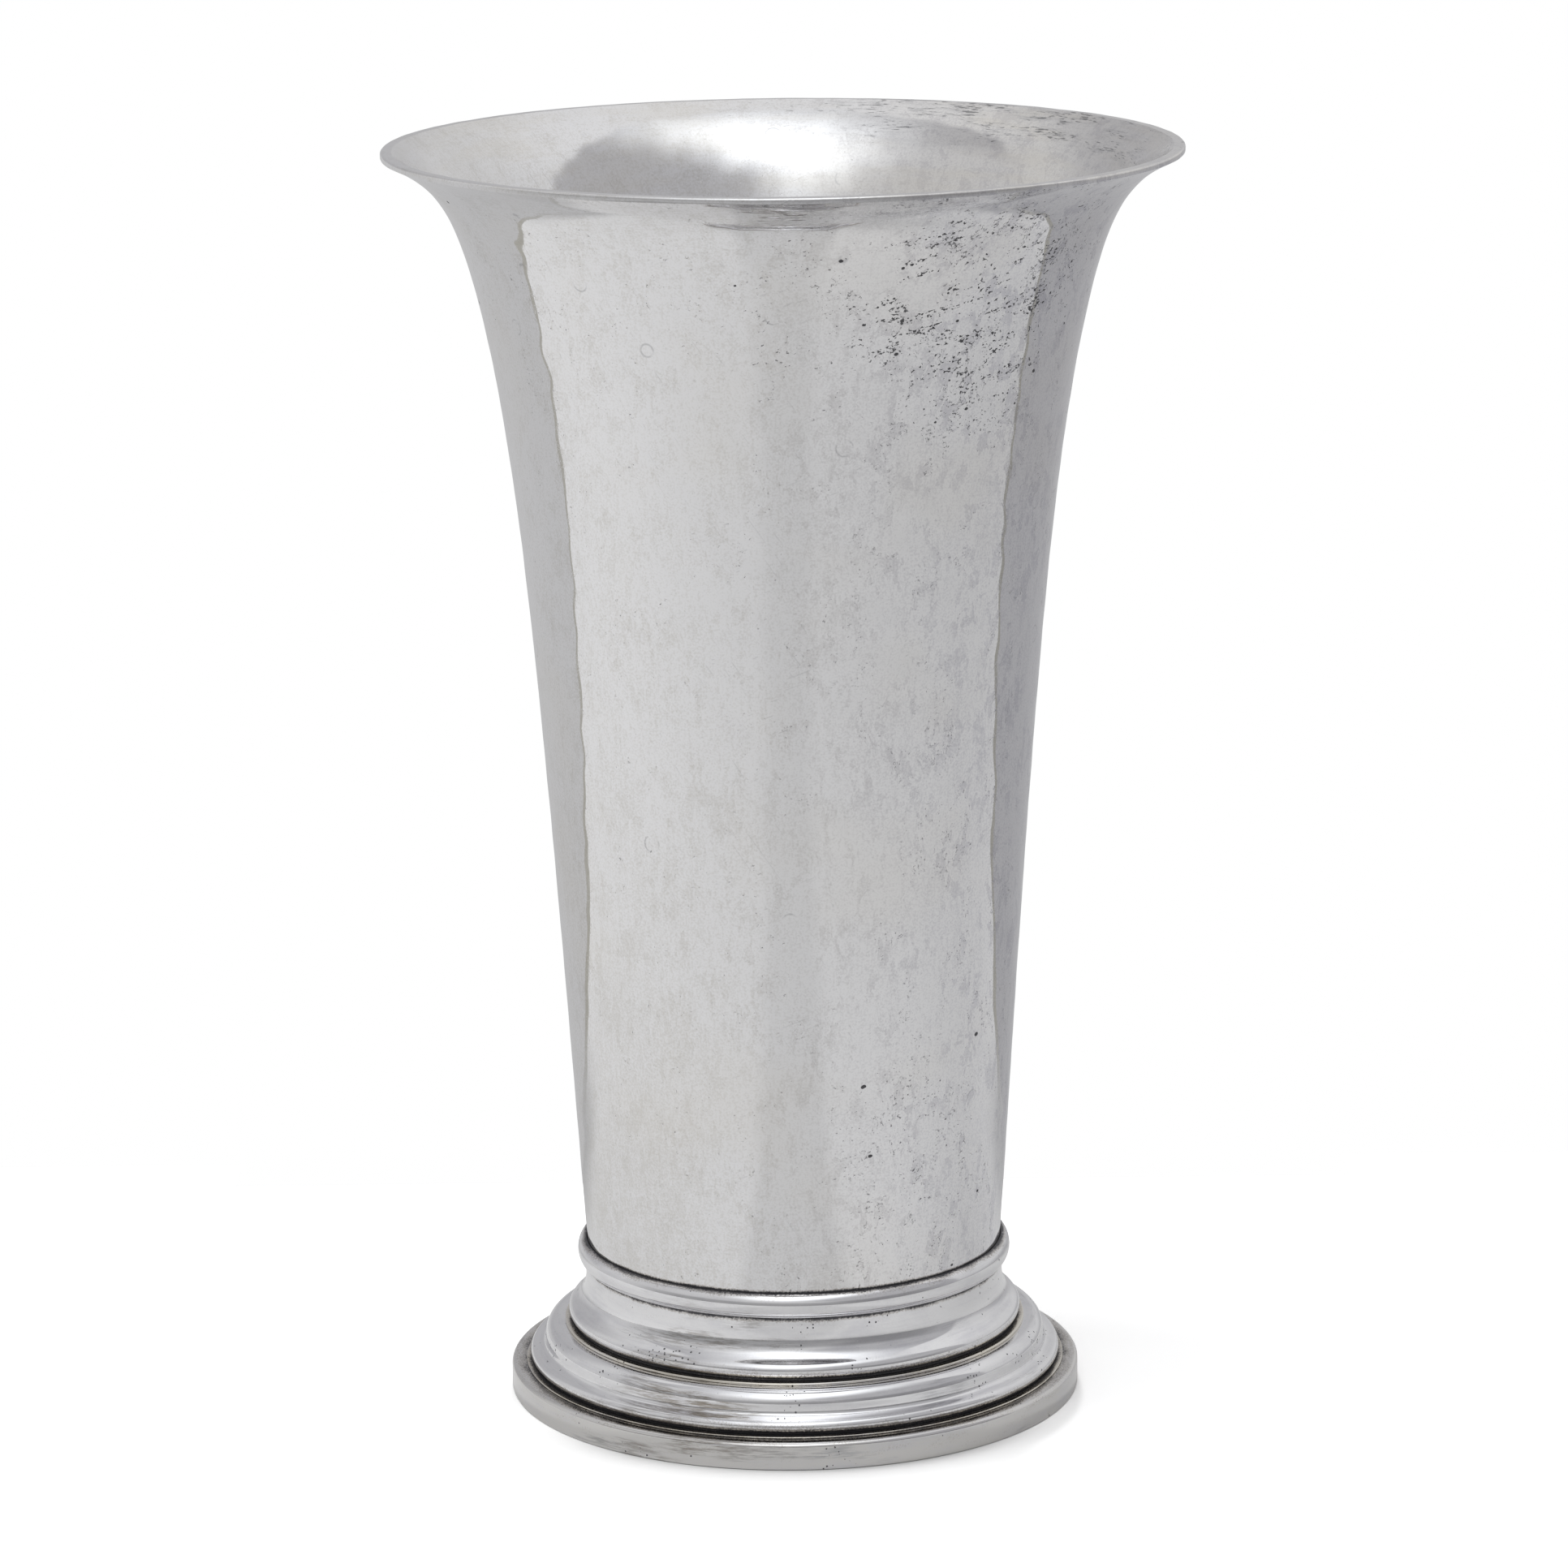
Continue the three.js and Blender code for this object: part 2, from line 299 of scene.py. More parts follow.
def wear_arrises(piece, width, segments=3, sharp=math.radians(40)):
    """Rounds the corners that turn by more than a sharp angle, as polishing does."""
    bpy.ops.object.modifier_add(type="BEVEL")
    bevel = piece.modifiers[-1]
    bevel.width = width
    bevel.segments = segments
    bevel.limit_method = "ANGLE"
    bevel.angle_limit = sharp
    bpy.ops.object.modifier_apply(modifier=bevel.name)


def hammer(piece, kind, size, depth):
    """Moves the surface in and out by a procedural texture, like the marks that hand work leaves."""
    texture = bpy.data.textures.new(f"{piece.name}_{kind.lower()}", kind)
    texture.noise_scale = size
    bpy.ops.object.modifier_add(type="DISPLACE")
    displace = piece.modifiers[-1]
    displace.texture = texture
    displace.texture_coords = "LOCAL"
    displace.mid_level = 0.5
    displace.strength = depth
    bpy.ops.object.modifier_apply(modifier=displace.name)


def mould(foot, name, outline):
    """Turns a moulding from its outline and gives it the worn edges and the waver of hand work."""
    piece = turn(name, outline, foot.turns)
    wear_arrises(piece, foot.arris)
    hammer(piece, "CLOUDS", foot.waver_size, foot.waver_depth)
    return piece


def profile_of(piece):
    """Radius and height of each of a piece's points."""
    places = np.empty(len(piece.data.vertices) * 3)
    piece.data.vertices.foreach_get("co", places)
    places = places.reshape(-1, 3)
    return np.hypot(places[:, 0], places[:, 1]), places[:, 2]


def mark(piece, name, values):
    """Stores a number for each point, for the piece's material."""
    attribute = piece.data.attributes.new(name, "FLOAT", "POINT")
    attribute.data.foreach_set("value", np.asarray(values, dtype=np.float32))


def mark_grime(piece, crevices):
    """Marks how near each point lies to a crevice, given as (radius, height, reach)."""
    radii, heights = profile_of(piece)
    nearness = np.zeros(len(radii))
    for radius, height, reach in crevices:
        gap = np.hypot(radii - radius, heights - height)
        nearness = np.maximum(nearness, np.exp(-((gap / reach) ** 2)))
    mark(piece, "grime", nearness)


def dress(piece, node, material, crease=38):
    """Gives a piece its finish and its place in the frame, with edges sharper than crease degrees kept."""
    bpy.ops.object.shade_smooth_by_angle(angle=math.radians(crease))
    piece.data.materials.clear()
    piece.data.materials.append(material)
    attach(piece, "root")
    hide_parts(node)


class Horn:
    """The body's outer and inner walls, by depth below the outer edge of the lip."""

    def __init__(self, body):
        self.body = body
        self.top = top_of("body_shell")
        self.lip_level = self.top - body.lip_edge
        self.depth = self.lip_level - foot_of("body_shell")
        self.flare = body.rim_radius - body.base_radius - body.taper * self.depth

    def radius(self, depth):
        """Outer radius at a depth."""
        body = self.body
        trumpet = (1 - body.lip_share) * math.exp(-depth / body.trumpet_reach)
        lip = body.lip_share * math.exp(-depth / body.lip_reach)
        return body.base_radius + body.taper * (self.depth - depth) + self.flare * (trumpet + lip)

    def slope(self, depth):
        """Radius gained for each unit of height, at a depth."""
        body = self.body
        trumpet = (1 - body.lip_share) / body.trumpet_reach * math.exp(-depth / body.trumpet_reach)
        lip = body.lip_share / body.lip_reach * math.exp(-depth / body.lip_reach)
        return body.taper + self.flare * (trumpet + lip)

    def outer(self, depth):
        """The outer wall's point at a depth."""
        return point(self.radius(depth), self.lip_level - depth)

    def inner(self, depth):
        """The inner wall's point behind it, farther in where metal is gathered at the lip."""
        slope = self.slope(depth)
        gauge = self.body.gauge + self.body.lip_thickening * math.exp(-depth / self.body.lip_reach)
        offset = gauge / math.hypot(1, slope)
        return self.outer(depth) + point(-offset, offset * slope)

    def level_depth(self):
        """Depth at which the inner wall comes up to the lip's level face."""
        low, high = 0.0, self.body.lip_reach
        for _ in range(HALVINGS):
            middle = (low + high) / 2
            low, high = (middle, high) if self.inner(middle).y > self.top else (low, middle)
        return low

    def inner_radius_at_base(self):
        """Inner radius of the wall's foot."""
        return self.radius(self.depth) - self.body.gauge


def bead_bore(context):
    """Radius of the bead's flat back."""
    horn = Horn(context.scene.vase_body)
    depth = horn.lip_level - top_of("collar_bead")
    return horn.radius(depth) + context.scene.vase_foot.seam


class Tree:
    """Adds nodes to a material's or a world's tree."""

    def __init__(self, owner, lean=1.0):
        owner.use_nodes = True
        self.owner = owner
        self.nodes = owner.node_tree.nodes
        self.links = owner.node_tree.links
        self.nodes.clear()
        self.place = self.add("ShaderNodeTexCoord").outputs["Object"]
        self.round = self.round_place(lean)

    def add(self, kind, **settings):
        """Adds a node and sets its fields."""
        node = self.nodes.new(kind)
        for name, value in settings.items():
            setattr(node, name, value)
        return node

    def feed(self, socket, value):
        """Links a socket, or sets its value, where a colour may have three numbers."""
        if isinstance(value, bpy.types.NodeSocket):
            self.links.new(value, socket)
        elif socket.type == "RGBA":
            socket.default_value = (*value, 1.0)
        else:
            socket.default_value = value

    def fed(self, node, *values):
        """Feeds a node's inputs in order and gives its first output."""
        for socket, value in zip(node.inputs, values):
            self.feed(socket, value)
        return node.outputs[0]

    def shader(self, kind, **inputs):
        """Adds a shader, with its inputs by name."""
        node = self.add(kind)
        for name, value in inputs.items():
            self.feed(node.inputs[name.replace("_", " ")], value)
        return node.outputs[0]

    def either(self, factor, first, second):
        """Mixes two shaders."""
        return self.fed(self.add("ShaderNodeMixShader"), factor, first, second)

    def both(self, first, second):
        """Adds two shaders."""
        return self.fed(self.add("ShaderNodeAddShader"), first, second)

    def finish(self, surface, kind="ShaderNodeOutputMaterial"):
        """Ends the tree with its surface."""
        self.links.new(surface, self.add(kind).inputs["Surface"])
        return self.owner

    def seen_by(self, *rays):
        """One for the kinds of ray that are named."""
        path = self.add("ShaderNodeLightPath")
        return self.most(*(path.outputs[f"Is {ray} Ray"] for ray in rays))

    def split(self, vector):
        """The three parts of a vector."""
        node = self.add("ShaderNodeSeparateXYZ")
        self.links.new(vector, node.inputs[0])
        return node.outputs

    def combine(self, *parts):
        """A vector from its parts, with zero for what is left out."""
        return self.fed(self.add("ShaderNodeCombineXYZ"), *parts)

    def vector(self, operation, *values):
        """Works on vectors. A length, a distance and a dot product come out as a number."""
        node = self.add("ShaderNodeVectorMath", operation=operation)
        self.fed(node, *values)
        return node.outputs["Vector" if operation == "NORMALIZE" else "Value"]

    def math(self, operation, *values):
        """Works on numbers."""
        return self.fed(self.add("ShaderNodeMath", operation=operation), *values)

    def folded(self, operation, values):
        """Joins values in order by one operation."""
        return functools.reduce(lambda found, value: self.math(operation, found, value), values)

    def times(self, *values):
        """The product of some masks."""
        return self.folded("MULTIPLY", values)

    def plus(self, *values):
        """The sum of some values."""
        return self.folded("ADD", values)

    def most(self, *values):
        """The largest of some masks."""
        return self.folded("MAXIMUM", values)

    def remap(self, value, low, high, new_low=0.0, new_high=1.0):
        """A smooth step of a value from low to high."""
        node = self.add("ShaderNodeMapRange", interpolation_type="SMOOTHSTEP")
        return self.fed(node, value, low, high, new_low, new_high)

    def between(self, data_type, kind, factor, first, second):
        """Goes from one value to another by a factor, for a kind of socket."""
        node = self.add("ShaderNodeMix", data_type=data_type)
        sockets = {socket.identifier: socket for socket in (*node.inputs, *node.outputs)}
        self.feed(sockets["Factor_Float"], factor)
        self.feed(sockets[f"A_{kind}"], first)
        self.feed(sockets[f"B_{kind}"], second)
        return sockets[f"Result_{kind}"]

    def mix(self, factor, first, second):
        """Goes from one colour to another by a factor."""
        return self.between("RGBA", "Color", factor, first, second)

    def blend(self, factor, first, second):
        """Goes from one number to another by a factor."""
        return self.between("FLOAT", "Float", factor, first, second)

    def round_place(self, lean):
        """Places round the vase and along a wall that leans out (1) or in (-1), with no seam."""
        across, along, up = self.split(self.place)
        flat = self.combine(across, along)
        radius = self.vector("LENGTH", flat)
        turned = self.split(self.vector("NORMALIZE", flat))
        return self.combine(self.times(turned[0], GIRTH), self.times(turned[1], GIRTH),
                            self.math("MULTIPLY_ADD", radius, lean, up))

    def stretched(self, stretch, turned=(0, 0, 0)):
        """Places stretched where a pattern is drawn out: turned ones are plain, others run round."""
        node = self.add("ShaderNodeMapping", vector_type="TEXTURE")
        self.links.new(self.place if any(turned) else self.round, node.inputs["Vector"])
        node.inputs["Scale"].default_value = [1 / part for part in stretch]
        node.inputs["Rotation"].default_value = turned
        return node.outputs[0]

    def pattern(self, kind, size, stretch, turned):
        """A texture whose features are about as wide as size, drawn out where a stretch is given."""
        node = self.add(kind)
        self.links.new(self.stretched(stretch, turned) if stretch else self.place, node.inputs["Vector"])
        node.inputs["Scale"].default_value = 1 / size
        return node

    def noise(self, size, stretch=None, turned=(0, 0, 0), detail=3.0, rough=0.5, bend=0.0):
        """Noise from 0 to 1, finer with more detail and distorted by a bend."""
        node = self.pattern("ShaderNodeTexNoise", size, stretch, turned)
        node.inputs["Detail"].default_value = detail
        node.inputs["Roughness"].default_value = rough
        node.inputs["Distortion"].default_value = bend
        return node.outputs["Fac"]

    def cells(self, size, stretch=None, turned=(0, 0, 0)):
        """Distance from the middle of scattered cells, and two random numbers for each cell."""
        node = self.pattern("ShaderNodeTexVoronoi", size, stretch, turned)
        numbers = self.add("ShaderNodeSeparateColor")
        self.links.new(node.outputs["Color"], numbers.inputs[0])
        return node.outputs["Distance"], numbers.outputs[0], numbers.outputs[1]

    def pits(self, size, weight, stretch=None, turned=(0, 0, 0)):
        """Pits in scattered cells, where weight is the share of the cells that hold one."""
        distance, chance, width = self.cells(size, stretch, turned)
        outside = self.math("SUBTRACT", distance, self.times(width, 0.22))
        hole = self.remap(outside, 0.14, 0.2, 1.0, 0.0)
        return self.times(hole, self.math("LESS_THAN", chance, weight))

    def specks(self, size, weight, stretch=None, turned=(0, 0, 0)):
        """Ragged specks, more and larger where their weight is greater."""
        ragged = self.noise(size, stretch, turned, detail=2, rough=0.6)
        fleck = self.math("MULTIPLY_ADD", weight, 0.24, ragged)
        return self.times(self.remap(fleck, 0.71, 0.76), self.remap(weight, 0.03, 0.15))

    def near(self, centre, reach, core=0.0):
        """One at a place on the vase, out to its core, fading to zero at its reach."""
        return self.remap(self.vector("DISTANCE", self.place, centre), core, reach, 1.0, 0.0)

    def attribute(self, name):
        """A number that is stored for each point of the piece."""
        return self.add("ShaderNodeAttribute", attribute_name=name).outputs["Fac"]

    def relief(self, height, depth):
        """Bump from a height map, whose full range is depth deep."""
        node = self.add("ShaderNodeBump")
        node.inputs["Strength"].default_value = 1.0
        node.inputs["Distance"].default_value = depth
        self.links.new(height, node.inputs["Height"])
        return node.outputs["Normal"]


def metal(tree, silver, gloss, relief):
    """Ends a tree with one metallic shader."""
    surface = tree.shader("ShaderNodeBsdfPrincipled", Base_Color=silver, Metallic=1.0,
                          Roughness=gloss, Normal=relief)
    return tree.finish(surface)


# Places on the vase where its silver is most pitted, streaked or stained.
UPPER_RIGHT = (0.045, -0.0587, 0.275)
UPPER_MIDDLE = (0.012, -0.072, 0.272)
LOWER_RIGHT = (0.032, -0.040, 0.066)
UPPER_LEFT = (-0.058, -0.040, 0.268)
BACK_RIGHT_LIP = (0.060, 0.062, 0.296)
RIGHT_LIP = (0.086, 0.0, 0.292)
LEFT_SHOULDER = (-0.024, -0.056, 0.0125)


def soiled(tree, finish, silver, ragged):
    """Darkens silver towards the crevices, first brown and then blue-black, with a fuzzy edge."""
    near = tree.plus(tree.attribute("grime"),
                     tree.remap(tree.noise(0.4 * MM, detail=3), 0.3, 0.7, -0.16, 0.16),
                     tree.remap(tree.noise(2.2 * MM, (0.3, 0.3, 1), detail=4), 0.3, 0.7, -ragged, ragged))
    fringe = tree.remap(near, 0.15, 0.5)
    soot = tree.remap(near, 0.38, 0.92)
    silver = tree.mix(tree.times(fringe, 0.4), silver, finish.brown)
    return tree.mix(tree.times(soot, 0.92), silver, finish.grime), soot


def planished_silver(finish):
    """Worn sheet: polished, with haze, streaks, etched patches, pits, dried drops and fine scratches."""
    tree = Tree(bpy.data.materials.new("planished_silver"))
    across, _, up = tree.split(tree.place)
    inside = tree.attribute("inside")
    # Painted shade in part: the right side gets more film and a darker film tint for less light there, as
    # well as its heavier real tarnish.
    right = tree.remap(across, -0.025, 0.055)
    ends = tree.most(tree.remap(up, 0.05, 0.10, 1.0, 0.0), tree.remap(up, 0.25, 0.29))
    grain = tree.noise(0.5 * MM, detail=2)
    blotch = tree.remap(tree.noise(26 * MM, detail=5, rough=0.62), 0.36, 0.7, 0.0, 0.2)
    upright = tree.remap(tree.noise(0.9 * MM, (1, 1, 0.14), detail=4, rough=0.62), 0.38, 0.68, -0.09, 0.16)
    broad = tree.remap(tree.noise(4.0 * MM, (1, 1, 0.3), detail=5, rough=0.65), 0.42, 0.66, 0.0, 0.18)
    level = tree.times(tree.remap(tree.noise(1.0 * MM, (0.2, 0.2, 1), detail=5, rough=0.65), 0.45, 0.68),
                       tree.plus(0.06, tree.times(ends, 0.2)))

    # Etched patches with a darker border, and the film that all of these make: mostly tarnish, but also
    # painted shade on the right side and low on the left.
    places = tree.most(tree.near(UPPER_RIGHT, 0.052, 0.018),
                       tree.times(tree.near(UPPER_MIDDLE, 0.045), 0.6),
                       tree.times(tree.near(LOWER_RIGHT, 0.045, 0.005), 0.6),
                       tree.times(tree.near(UPPER_LEFT, 0.05), 0.3))
    worn = tree.plus(0.4, tree.times(right, 0.45), tree.times(places, 0.3))
    clumps = tree.remap(tree.noise(10 * MM, detail=4, rough=0.6), 0.38, 0.56)
    etching = tree.noise(3.4 * MM, (1, 1, 0.5), detail=6, rough=0.7, bend=0.5)
    patch = tree.times(tree.remap(etching, 0.53, 0.56), worn, clumps)
    border = tree.remap(tree.math("ABSOLUTE", tree.math("SUBTRACT", etching, 0.545)), 0.0, 0.022, 1.0, 0.0)
    # Painted shade: more film low on the left, so the table mirrored there looks dimmer.
    low_left_painted_shade = tree.times(tree.remap(up, 0.22, 0.06), tree.remap(across, 0.0, -0.04), 0.3)
    film = tree.plus(blotch, upright, broad, level, low_left_painted_shade, tree.times(right, 0.06),
                     tree.times(patch, 0.7), tree.times(border, worn, clumps, 0.6),
                     tree.remap(grain, 0.35, 0.7, -0.32, 0.36))
    # The darker film tint towards the right is partly painted shade, partly real tarnish.
    silver = tree.mix(film, finish.clean, tree.mix(right, finish.film, finish.haze))
    straw = tree.remap(tree.noise(42 * MM, detail=2), 0.5, 0.7, 0.0, 0.14)
    smear = tree.plus(tree.remap(tree.noise(6 * MM, (0.3, 0.3, 1), detail=4), 0.4, 0.7, 0.0, 0.25),
                      tree.times(tree.remap(across, 0.0, 0.05), 0.25))
    silver = tree.mix(tree.most(straw, tree.times(inside, smear)), silver, finish.warm)

    # Pits in slanting rows, streaks along the lip and rings where drops dried.
    tilt = (0.0, -0.2, 0.0)
    rows = tree.remap(tree.noise(1.7 * MM, (0.12, 0.12, 1), tilt, detail=2), 0.48, 0.58)
    dense = tree.times(places, clumps, tree.plus(0.25, tree.times(rows, 0.5)))
    chains = tree.times(worn, border, tree.remap(tree.noise(8 * MM, (1, 1, 0.4), detail=3), 0.45, 0.6))
    specks = tree.specks(0.55 * MM, tree.most(dense, chains), (0.6, 0.6, 1), tilt)
    bold = tree.pits(1.3 * MM, tree.times(places, clumps, 0.03), (0.7, 0.7, 1), tilt)
    pits = tree.most(tree.times(specks, tree.plus(0.6, tree.times(places, 0.4))), bold)
    pits = tree.times(pits, tree.blend(inside, 1.0, 0.15))
    lip = tree.most(tree.times(tree.near(BACK_RIGHT_LIP, 0.095, 0.03), tree.remap(up, 0.289, 0.297)),
                    tree.near(RIGHT_LIP, 0.030))
    lip = tree.times(lip, tree.remap(tree.noise(5 * MM, (0.5, 0.5, 1), detail=5, rough=0.65), 0.42, 0.62))
    drawn = tree.noise(1.2 * MM, (0.3, 0.3, 1), detail=5, rough=0.7)
    streaks = tree.times(lip, tree.remap(drawn, 0.45, 0.6))
    dashes = tree.specks(0.6 * MM, tree.times(lip, 0.8), (0.3, 0.3, 1))
    distance, chance, _ = tree.cells(15 * MM)
    ring = tree.times(tree.remap(distance, 0.115, 0.13), tree.remap(distance, 0.135, 0.155, 1.0, 0.0),
                      tree.math("GREATER_THAN", chance, 0.8), tree.remap(tree.noise(3 * MM), 0.4, 0.6), 0.6)
    silver = tree.mix(tree.most(ring, tree.times(streaks, 0.75)), silver, finish.stain)
    black = tree.most(pits, tree.times(dashes, inside, 0.6))
    silver = tree.mix(tree.times(black, 0.9), silver, finish.pit)

    # Two sets of hairline scratches, then the grime at the seam, the gloss and the relief.
    hairs = [tree.noise(0.5 * MM, (1, 1, 0.018), (0.0, lean, 0.0), detail=1) for lean in (-0.6, 1.2)]
    scratch = tree.most(*(tree.remap(hair, 0.71, 0.77) for hair in hairs))
    silver = tree.mix(tree.times(scratch, 0.25), silver, finish.stain)
    silver, soot = soiled(tree, finish, silver, 0.1)
    deep = tree.remap(up, 0.262, 0.22, 0.0, finish.matt)
    gloss = tree.plus(tree.blend(film, finish.gloss, finish.hazed),
                      tree.times(inside, tree.plus(deep, finish.unpolished)))
    gloss = tree.blend(tree.most(pits, soot), gloss, finish.sooty)
    height = tree.plus(tree.times(grain, 0.005), tree.times(pits, -0.8), tree.times(scratch, -0.08),
                       tree.times(patch, -0.03))
    return metal(tree, silver, gloss, tree.relief(height, 0.08 * MM))


def moulded_silver(finish, name, tint, stained):
    """Drawn and turned mouldings: glossy, with round wear lines, brown stains and dark grooves."""
    tree = Tree(bpy.data.materials.new(name), lean=-1.0)
    blotch = tree.noise(14 * MM, stretch=(1, 1, 2.5), detail=4, rough=0.6)
    round_wear = tree.noise(1.1 * MM, stretch=(0.045, 0.045, 1), detail=4, rough=0.6)
    grain = tree.noise(0.6 * MM, detail=2)
    film = tree.plus(tree.remap(blotch, 0.42, 0.74, 0.0, 0.5), tree.remap(round_wear, 0.46, 0.74, 0.0, 0.3),
                     tree.remap(grain, 0.35, 0.7, -0.04, 0.06))
    silver = tree.mix(film, tint, finish.haze)
    shoulder = tree.near(LEFT_SHOULDER, 0.036)
    soft = tree.plus(tree.noise(9 * MM, (0.35, 0.35, 1.6), detail=4), tree.times(shoulder, 0.19))
    smear = tree.times(tree.remap(soft, 0.57, 0.72),
                       tree.remap(tree.noise(0.5 * MM, (0.09, 0.09, 1), detail=5, rough=0.7), 0.42, 0.62))
    silver = tree.mix(tree.times(smear, stained), silver, finish.stain)
    silver = tree.mix(tree.times(smear, shoulder, 0.7), silver, finish.brown)
    pits = tree.pits(0.7 * MM, tree.remap(tree.noise(9 * MM, detail=4), 0.54, 0.66, 0.0, 0.3))
    silver = tree.mix(tree.times(pits, 0.85), silver, finish.pit)
    silver, soot = soiled(tree, finish, silver, 0.14)
    gloss = tree.blend(film, finish.gloss, finish.hazed)
    gloss = tree.blend(tree.most(pits, soot), gloss, finish.sooty)
    height = tree.plus(tree.times(round_wear, 0.06), tree.times(pits, -0.8))
    return metal(tree, silver, gloss, tree.relief(height, 0.06 * MM))


def dull_silver(finish):
    """The floor, out of reach of polishing: matt, with water stains."""
    tree = Tree(bpy.data.materials.new("dull_silver"))
    stain = tree.remap(tree.noise(12 * MM, detail=5, rough=0.6), 0.4, 0.7)
    grain = tree.noise(0.8 * MM, detail=3)
    silver = tree.mix(tree.times(stain, 0.6), finish.dull, finish.brown)
    return metal(tree, silver, tree.remap(grain, 0.3, 0.7, 0.38, 0.55), tree.relief(grain, 0.03 * MM))


def moulding_finish(context):
    """The mouldings' material, made once."""
    found = bpy.data.materials.get("moulded_silver")
    finish = context.scene.silver_finish
    return found or moulded_silver(finish, "moulded_silver", finish.clean, stained=0.6)


def foot_levels(context):
    """Radii and heights that the foot's pieces share."""
    foot = context.scene.vase_foot
    levels = {"neck_radius": bead_bore(context) + foot.neck_step}
    levels["neck"] = top_of("upper_stage") - foot.neck_height
    for stage in ("upper", "lower"):
        radius = reach_of(f"{stage}_stage")
        levels[f"{stage}_heel"] = radius - foot.undercut
        levels[f"{stage}_bore"] = radius - foot.undercut - foot.heel_width
        lip = getattr(foot, f"{stage}_undercut") + getattr(foot, f"{stage}_lip")
        levels[f"{stage}_arch"] = foot_of(f"{stage}_stage") + lip
    levels["ledge_radius"] = reach_of("upper_stage") + foot.ledge_width
    levels["shoulder_radius"] = levels["ledge_radius"] + foot.shoulder_width
    levels["shoulder"] = top_of("lower_stage") - foot.shoulder_height
    return levels


def lip_over_heel(foot, node, undercut, lip_height, depth):
    """The undercut heel and the rounded nose of a lip, from the heel's foot up."""
    radius, base = reach_of(node), foot_of(node)
    heel, bottom = radius - foot.undercut, base + undercut
    half = 2 * math.atan(2 * depth / lip_height)
    bend = lip_height / 2 / math.sin(half)
    span = math.degrees(half)
    nose = arc(radius - bend, bottom + lip_height / 2, bend, bend, -span, span, foot.nose_steps)
    return [point(heel, base), point(heel, bottom), *nose]


def hollow_back(foot, radius, height, width, rise, bore):
    """Back of a hollow moulding's sheet, down to the bore of its heel."""
    last = 180 + math.degrees(math.acos((radius - bore) / width))
    return arc(radius, height, width, rise, 180, last, foot.arch_steps)


class VASE_OT_body_shell(bpy.types.Operator):
    """Raise the sheet body, planish it and file its lip level"""

    bl_idname = "vase.body_shell"
    bl_label = "Body Shell"

    def execute(self, context):
        body, finish = context.scene.vase_body, context.scene.silver_finish
        horn = Horn(body)
        spread = np.linspace(0, 1, body.wall_rings + 1)
        depths = horn.depth * (EVEN_RINGS * spread + (1 - EVEN_RINGS) * spread**3)
        seam = horn.lip_level - top_of("collar_bead")
        close = seam - np.linspace(0, body.seam_band, body.seam_rings)
        outside = [horn.outer(d) for d in np.sort(np.append(depths, close))[::-1]]
        bend = body.lip_round
        edge = arc(body.rim_radius - bend, horn.top - bend, bend, bend, 0, 90, steps=8)
        level = horn.level_depth()
        border = horn.inner(level)
        face = [edge[-1].lerp(border, step) for step in (0.33, 0.66, 0.9, 1.0)]
        inside = [horn.inner(d) for d in depths if level + body.lip_margin < d < horn.depth]
        base = point(horn.inner_radius_at_base(), foot_of("body_shell"))
        piece = turn("planished_body", outside + edge + face + inside + [base], body.turns)
        hammer(piece, "CLOUDS", body.sway_size, body.sway_depth)
        hammer(piece, "VORONOI", body.planish_size, body.planish_depth)
        mark_grime(piece, [(horn.radius(seam), top_of("collar_bead"), finish.seam_grime)])
        radii, heights = profile_of(piece)
        middle = [horn.radius(horn.lip_level - h) - body.gauge / 2 for h in heights]
        mark(piece, "inside", radii < middle)
        dress(piece, "body_shell", planished_silver(finish), crease=20)
        return {"FINISHED"}


class VASE_OT_floor_disc(bpy.types.Operator):
    """Turn the disc that closes the body's base, slightly dished, with a worn edge"""

    bl_idname = "vase.floor_disc"
    bl_label = "Floor Disc"

    def execute(self, context):
        body, foot = context.scene.vase_body, context.scene.vase_foot
        radius, base, top = reach_of("floor_disc"), foot_of("floor_disc"), top_of("floor_disc")
        dish = body.floor_dish * (top - base)
        rings = np.linspace(0, 1, body.floor_rings)
        under = [point(radius * t, base + dish * (1 - t * t)) for t in rings]
        over = [point(radius * t, top - dish * (1 - t * t)) for t in rings[::-1]]
        piece = turn("dished_floor", under + over, foot.turns, closed=False)
        wear_arrises(piece, foot.arris)
        dress(piece, "floor_disc", dull_silver(context.scene.silver_finish))
        return {"FINISHED"}


class VASE_OT_collar_bead(bpy.types.Operator):
    """Bend the half-round wire that binds the foot of the body"""

    bl_idname = "vase.collar_bead"
    bl_label = "Collar Bead"

    def execute(self, context):
        foot, finish = context.scene.vase_foot, context.scene.silver_finish
        bore = bead_bore(context)
        base, top = foot_of("collar_bead") - foot.bead_lap, top_of("collar_bead")
        half = (top - base) / 2
        outline = arc(bore, base + half, reach_of("collar_bead") - bore, half, -90, 90, 2 * foot.arch_steps)
        piece = mould(foot, "half_round_bead", outline)
        mark_grime(piece, [(bore, top, finish.bead_grime), (bore, base, finish.lap_grime)])
        dress(piece, "collar_bead", moulding_finish(context))
        return {"FINISHED"}


